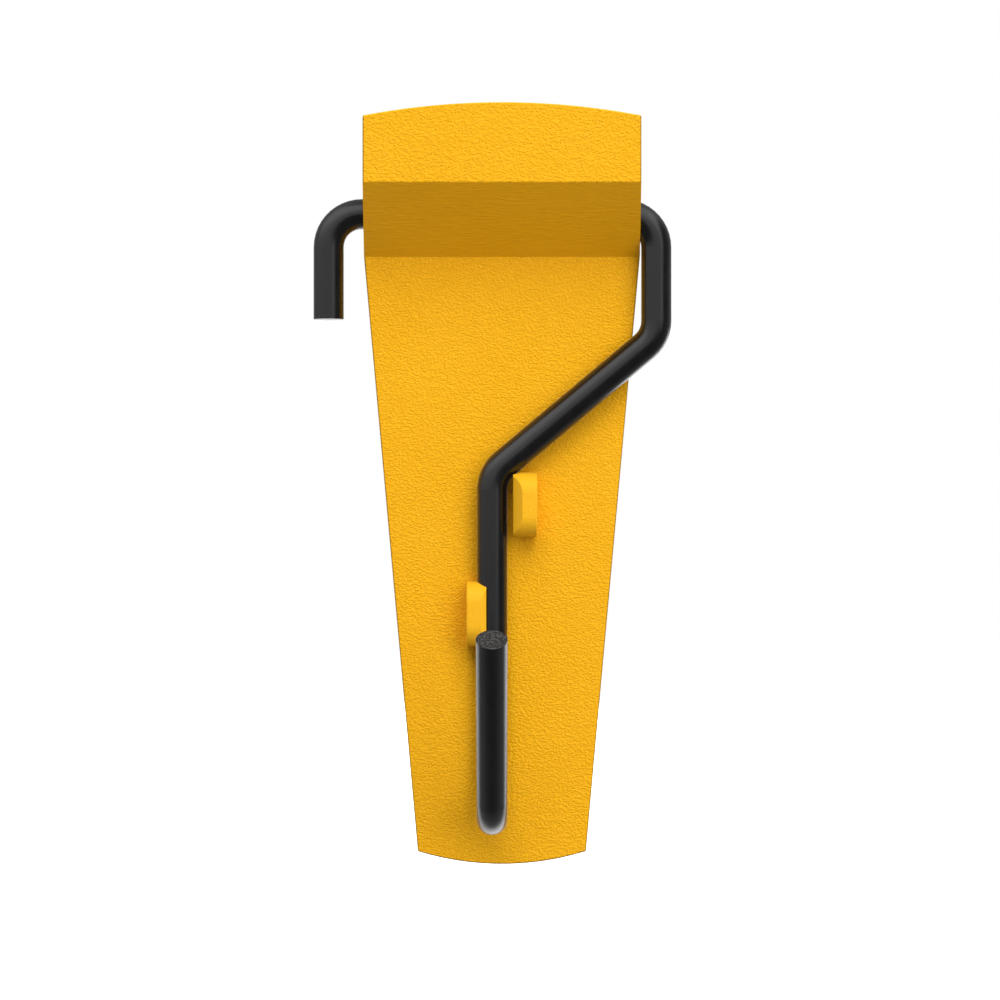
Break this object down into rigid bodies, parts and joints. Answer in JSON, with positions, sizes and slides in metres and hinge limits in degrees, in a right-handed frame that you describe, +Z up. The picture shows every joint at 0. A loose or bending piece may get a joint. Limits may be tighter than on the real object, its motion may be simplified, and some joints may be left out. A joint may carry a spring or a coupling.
{
  "type": "garage utility hook",
  "caption": "Wall-hung utility hook: a moulded face plate with a hollow arched head and snap clips holds a bent steel wire with a J hook.",
  "frame": {"origin": "on the plate's centre line, in the back plane that lies on the wall, half way between the top and the bottom of the face", "axes": "+Z up as it hangs, +Y into the wall, -Y towards the viewer, +X to the viewer's right"},
  "size_m": [0.0948, 0.0637, 0.2002],
  "materials": {
    "yellow_plastic": "fine moulded grain",
    "black_wire": "black satin coating"
  },
  "bodies": {
    "root": {"face_plate": "yellow_plastic", "wire_hook": "black_wire"}
  },
  "joints": []
}
